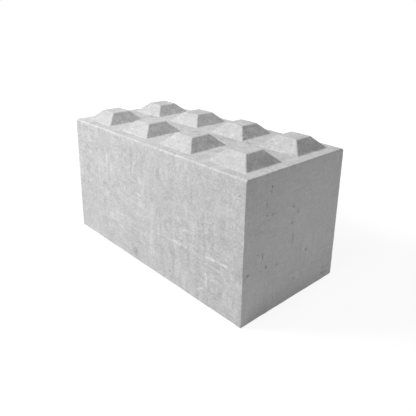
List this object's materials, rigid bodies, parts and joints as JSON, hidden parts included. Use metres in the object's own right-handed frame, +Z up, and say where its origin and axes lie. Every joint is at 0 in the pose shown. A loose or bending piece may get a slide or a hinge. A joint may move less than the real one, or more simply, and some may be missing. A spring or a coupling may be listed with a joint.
{
  "type": "stackable concrete block",
  "caption": "Solid cast concrete wall block with square pyramid studs on top and matching pockets underneath, laid dry in interlocking courses.",
  "frame": {"origin": "middle of the underside, in the plane that the block stands on", "axes": "+X along the length, +Y across the width, +Z up from the underside to the studs"},
  "size_m": [1.6, 0.8, 0.867],
  "materials": {
    "concrete": "matte cast concrete"
  },
  "bodies": {
    "root": {"concrete_block": "concrete"}
  },
  "joints": []
}
